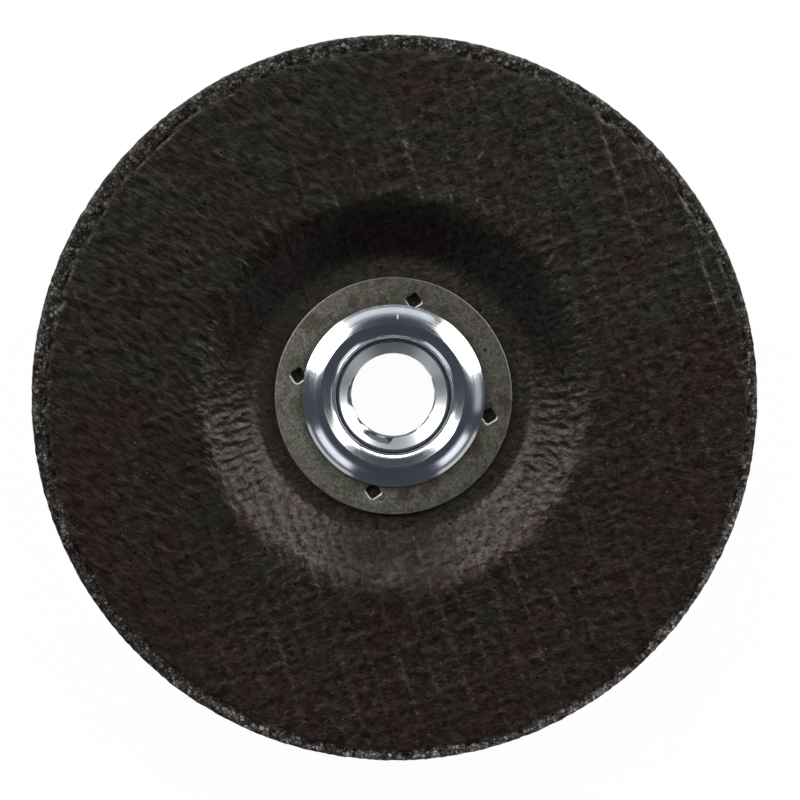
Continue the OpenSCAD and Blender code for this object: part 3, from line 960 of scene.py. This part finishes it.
# softboxes round the table: azimuth from and to, elevation from and to, softness of the upper edge in
# degrees, how far the upper edge falls towards the sides, radiance, colour
softboxes = [
    (17, 53, 6, 58, 1, 3.0, 8.6, (1.0, 0.99, 0.96)),
    (127, 161, 6, 64, 1, 3.0, 8.2, (1.0, 0.99, 0.96)),
    (61, 125, 3, 12, 1, 0, 33.0, (1.0, 0.98, 0.95)),
    (61, 125, 25, 38, 7, 0, 0.75, (0.93, 0.95, 1.0)),
    (206, 240, 30, 44, 1.5, 0, 1.1, (0.93, 0.93, 1.0)),
    (200, 243, 18, 24, 1, 0, 0.6, (1.0, 1.0, 0.97)),
    (208, 240, 0, 15, 1, 0, 0.9, (1.0, 1.0, 1.0)),
    (304, 331, 30, 44, 1.5, 0, 1.1, (0.97, 0.95, 1.0)),
    (300, 335, 18, 24, 1, 0, 0.6, (1.0, 1.0, 0.97)),
    (304, 336, 0, 15, 1, 0, 2.2, (1.0, 1.0, 1.0)),
    (349, 382, 25, 39, 2, 0, 0.36, (0.93, 1.0, 0.98)),
]


def addSoftbox(tree, flat, height, total, box):
    # adds one softbox to the sky: a sector of azimuth between two elevations
    start, end, low, high, soft, fall, radiance, colour = box
    middle, half = math.radians((start + end) / 2), math.radians((end - start) / 2)
    edge = math.radians(1.5)
    towards = addNode(tree, "ShaderNodeVectorMath", operation="DOT_PRODUCT")
    towards.inputs[1].default_value = (math.cos(middle), math.sin(middle), 0)
    join(tree, flat, "Vector", towards, 0)
    lowered = addNode(tree, "ShaderNodeMath", {1: -fall}, operation="MULTIPLY_ADD")
    join(tree, towards, "Value", lowered, 0)
    join(tree, height, "Z", lowered, 2)
    limits = [math.sin(math.radians(e)) for e in (low - 1.5, low + 1.5, high + soft, high - soft)]
    masks = [(towards, "Value", math.cos(half + edge), math.cos(half - edge)),
             (height, "Z", limits[0], limits[1]),
             (lowered, "Value", limits[2] - fall, limits[3] - fall)]
    product = None
    for source, output, zero, one in masks:
        mask = addNode(tree, "ShaderNodeMapRange", {"From Min": zero, "From Max": one},
                       interpolation_type="SMOOTHSTEP")
        join(tree, source, output, mask, "Value")
        if product:
            both = addNode(tree, "ShaderNodeMath", operation="MULTIPLY")
            join(tree, product, 0, both, 0)
            join(tree, mask, 0, both, 1)
            mask = both
        product = mask
    added = addNode(tree, "ShaderNodeVectorMath", operation="MULTIPLY_ADD")
    join(tree, product, 0, added, 0)
    added.inputs[1].default_value = tuple(radiance * c for c in colour)
    join(tree, total, 0, added, 2)
    return added


def makeWorld():
    world = bpy.data.worlds.new("studio")
    bpy.context.scene.world = world
    world.use_nodes = True
    tree = world.node_tree
    sky = tree.nodes["Background"]
    place = tree.nodes.new("ShaderNodeTexCoord")
    parts = tree.nodes.new("ShaderNodeSeparateXYZ")
    join(tree, place, "Generated", parts, "Vector")
    ring = tree.nodes.new("ShaderNodeCombineXYZ")
    join(tree, parts, "X", ring, "X")
    join(tree, parts, "Y", ring, "Y")
    flat = addNode(tree, "ShaderNodeVectorMath", operation="NORMALIZE")
    join(tree, ring, "Vector", flat, "Vector")
    total = addRamp(tree, [(0.0, studio["horizon"]), (0.1, studio["horizon"]), (0.22, studio["low"]),
                           (0.6, studio["zenith"])])
    join(tree, parts, "Z", total, "Fac")
    for box in softboxes:
        total = addSoftbox(tree, flat, parts, total, box)
    join(tree, total, 0, sky, "Color")
    sky.inputs["Strength"].default_value = 1


makeFloor()
makeWorld()
print("studio")

view = {"fromDisc": (-0.009, 0.017, 1.0), "distance": 0.75, "lens": 213.2, "shift": (1.0, -0.611)}


def makeCamera():
    data = bpy.data.cameras.new("camera")
    data.lens = view["lens"]
    data.sensor_width = 36
    data.clip_start = 0.01
    camera = bpy.data.objects.new("camera", data)
    bpy.context.collection.objects.link(camera)
    out = Vector(view["fromDisc"]).normalized()
    right = Vector((0, 1, 0)).cross(out).normalized()
    up = out.cross(right)
    aim = Vector((0, 0, 22 * mm)) + right * view["shift"][0] * mm + up * view["shift"][1] * mm
    camera.matrix_world = Matrix.Translation(aim + out * view["distance"]) @ Matrix(
        (right, up, out)).transposed().to_4x4()
    bpy.context.scene.camera = camera


makeCamera()
bpy.context.scene.view_settings.view_transform = "Standard"
